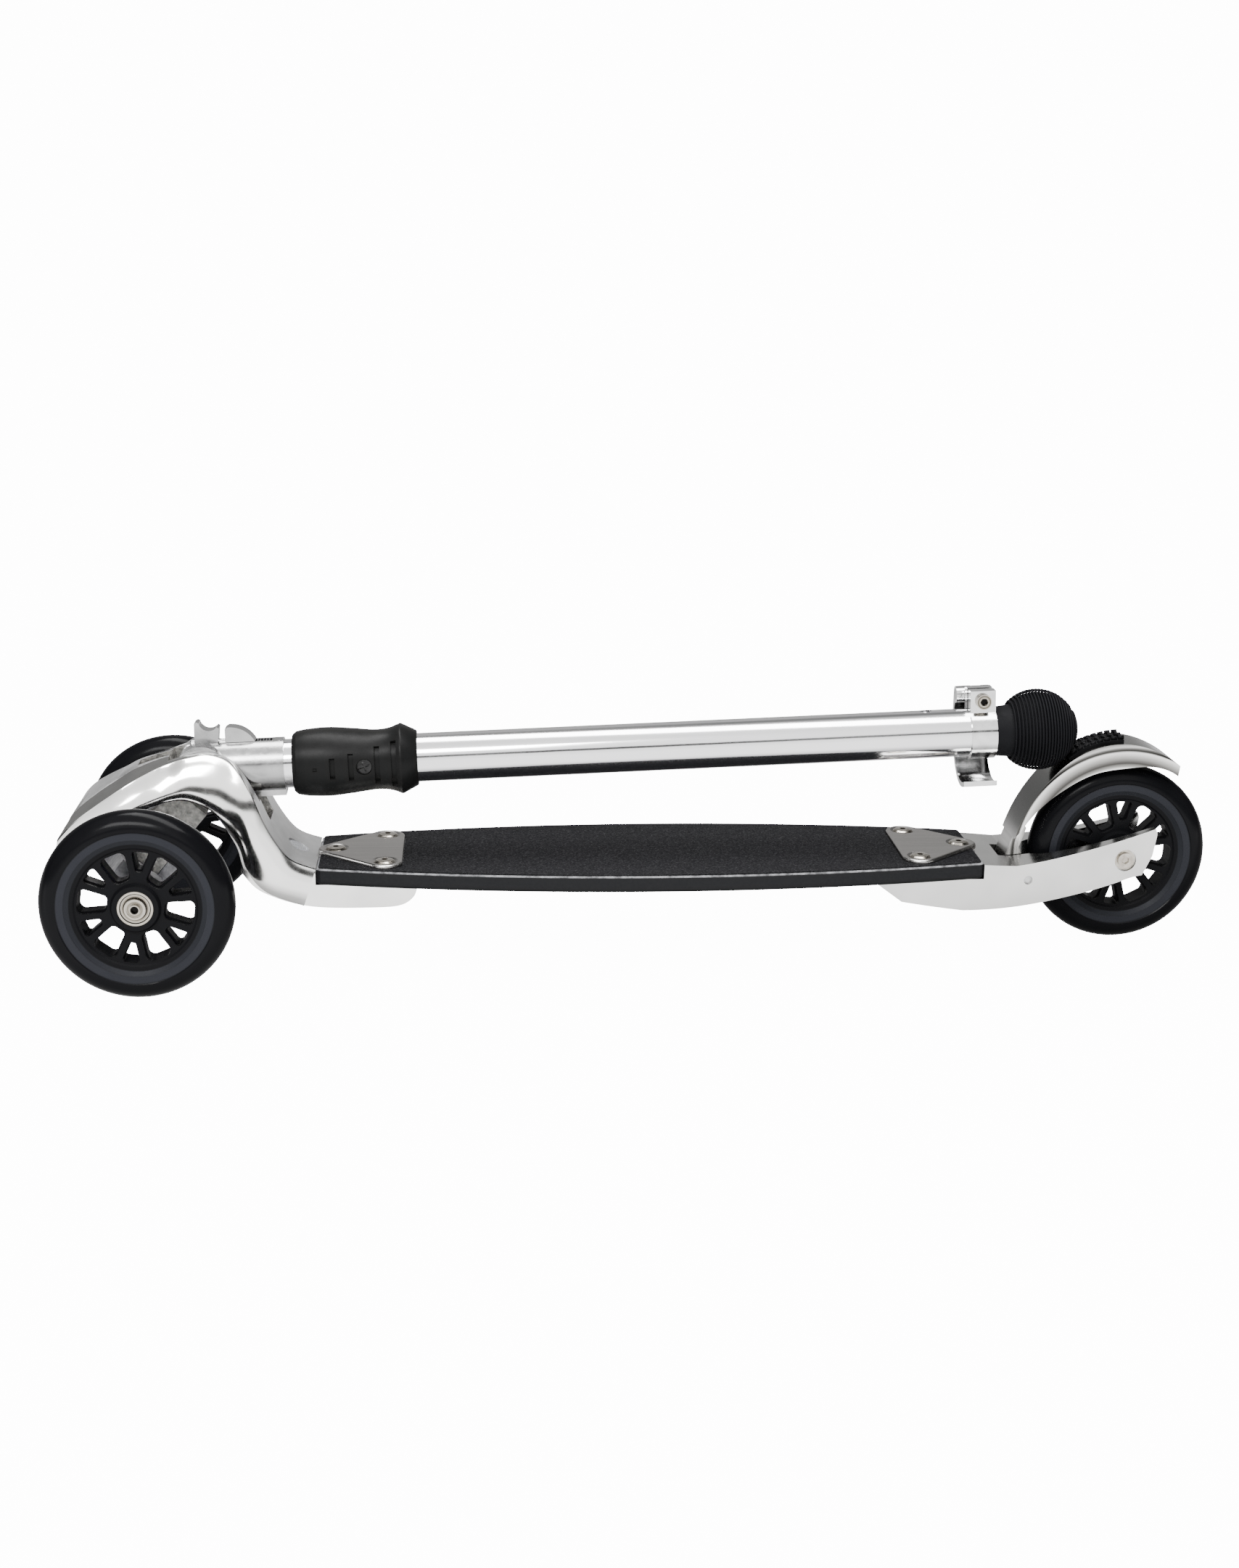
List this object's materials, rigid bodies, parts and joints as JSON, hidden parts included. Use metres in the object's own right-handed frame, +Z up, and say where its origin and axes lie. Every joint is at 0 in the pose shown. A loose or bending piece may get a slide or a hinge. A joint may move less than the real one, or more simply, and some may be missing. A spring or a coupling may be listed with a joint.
{
  "type": "kick scooter",
  "caption": "Folding lean-steer kick scooter for a child: barrel-shaped deck, arched neck, telescopic bar with ball knob, rear fender brake.",
  "frame": {"origin": "on the ground, midway between the front and rear axles, in the middle of the width", "axes": "+X points to the rear, +Y to the rider's right, +Z up"},
  "size_m": [0.758, 0.2234, 0.1721],
  "materials": {
    "neck_metal": "polished",
    "holder_metal": "polished",
    "tube_metal": "satin",
    "socket_metal": "polished",
    "clamp_metal": "polished",
    "truck_metal": "satin",
    "badge_metal": "satin",
    "fender_metal": "satin",
    "plate_metal": "satin",
    "bolt_metal": "polished",
    "pin_metal": "satin",
    "spring_metal": "satin",
    "bearing_metal": "polished",
    "tyre_rubber": "gloss",
    "core_plastic": "matt",
    "sleeve_plastic": "satin",
    "deck_black": "matt",
    "tape_grit": "matt",
    "screw_metal": "satin",
    "knob_rubber": "matt",
    "pad_rubber": "matt",
    "steer_rubber": "matt",
    "bush_plastic": "matt"
  },
  "bodies": {
    "chassis": {"deck_board": "deck_black", "grip_tape": "tape_grit", "front_guard_plate": "plate_metal", "rear_guard_plate": "plate_metal", "deck_screws": "bolt_metal", "neck_casting": "neck_metal", "neck_badge": "badge_metal", "steering_pin": "pin_metal", "steering_pin_nut": "bolt_metal", "rubber_bolt": "pin_metal", "upper_rubber": "steer_rubber", "lower_rubber": "steer_rubber", "rubber_nut": "bolt_metal", "rear_holder": "holder_metal", "rear_axle_bolt": "bolt_metal", "rear_axle_collars": "pin_metal", "fender_pin": "pin_metal", "fender_spring": "spring_metal", "fold_pin": "pin_metal"},
    "truck": {"truck_beam": "truck_metal", "front_axles": "pin_metal", "front_axle_washers": "bolt_metal", "front_axle_screws": "bolt_metal"},
    "fender": {"fender_brake": "fender_metal", "fender_pad": "pad_rubber"},
    "bar": {"fold_socket": "socket_metal", "fold_bush": "bush_plastic", "outer_tube": "tube_metal", "left_sleeve": "sleeve_plastic", "right_sleeve": "sleeve_plastic", "sleeve_screws": "screw_metal", "clamp_collar": "clamp_metal", "clamp_bolt": "bolt_metal", "lever_barrel_nut": "pin_metal", "latch_spring": "spring_metal"},
    "latch": {"latch_fin": "socket_metal", "latch_plunger": "pin_metal"},
    "lever": {"clamp_lever": "clamp_metal"},
    "extension": {"inner_tube": "tube_metal", "inner_tube_plug": "bush_plastic", "knob_core": "bush_plastic", "knob_grip": "knob_rubber", "knob_cap": "knob_rubber", "button_spring": "spring_metal"},
    "button": {"snap_button": "pin_metal"},
    "left_wheel": {"left_tyre": "tyre_rubber", "left_core": "core_plastic", "left_bearings": "bearing_metal", "left_spacer": "pin_metal"},
    "right_wheel": {"right_tyre": "tyre_rubber", "right_core": "core_plastic", "right_bearings": "bearing_metal", "right_spacer": "pin_metal"},
    "rear_wheel": {"rear_tyre": "tyre_rubber", "rear_core": "core_plastic", "rear_bearings": "bearing_metal", "rear_spacer": "pin_metal"}
  },
  "joints": [
    {"name": "lean_steer", "type": "hinge", "parent": "chassis", "child": "truck", "pos_m": [-0.319, 0, 0.074], "axis": [-0.766, 0, 0.6428], "range_deg": [-10, 10], "stiffness_Nm_per_rad": 25},
    {"name": "left_wheel_spin", "type": "hinge", "parent": "truck", "child": "left_wheel", "pos_m": [-0.319, -0.098, 0.06], "axis": [0, 1, 0], "continuous": true},
    {"name": "right_wheel_spin", "type": "hinge", "parent": "truck", "child": "right_wheel", "pos_m": [-0.319, 0.098, 0.06], "axis": [0, 1, 0], "continuous": true},
    {"name": "rear_wheel_spin", "type": "hinge", "parent": "chassis", "child": "rear_wheel", "pos_m": [0.319, 0, 0.06], "axis": [0, 1, 0], "continuous": true},
    {"name": "fender_press", "type": "hinge", "parent": "chassis", "child": "fender", "pos_m": [0.2515, 0, 0.0503], "axis": [0, 1, 0], "range_deg": [0, 10], "stiffness_Nm_per_rad": 1.5, "springref_deg": -17.19, "deforming": ["fender_spring"]},
    {"name": "fold", "type": "hinge", "parent": "chassis", "child": "bar", "pos_m": [-0.287, 0, 0.1217], "axis": [0, -1, 0], "range_deg": [0, 75]},
    {"name": "latch_slide", "type": "slide", "parent": "bar", "child": "latch", "axis": [0.9992, 0, 0.0403], "range_m": [0, 0.008], "stiffness_N_per_m": 300, "springref_m": -0.01, "deforming": ["latch_spring"]},
    {"name": "lever_open", "type": "hinge", "parent": "bar", "child": "lever", "pos_m": [0.22192, 0.0154, 0.16485], "axis": [0.9992, 0, 0.0403], "range_deg": [0, 110]},
    {"name": "bar_extend", "type": "slide", "parent": "bar", "child": "extension", "axis": [0.9992, 0, 0.0403], "range_m": [0, 0.25]},
    {"name": "button_press", "type": "slide", "parent": "extension", "child": "button", "axis": [0.0403, 0, -0.9992], "range_m": [0, 0.0025], "stiffness_N_per_m": 400, "springref_m": -0.002, "deforming": ["button_spring"]}
  ],
  "couplings": [
    {"joint": "bar_extend", "follows": "fold", "m_per_rad": 0.19}
  ]
}
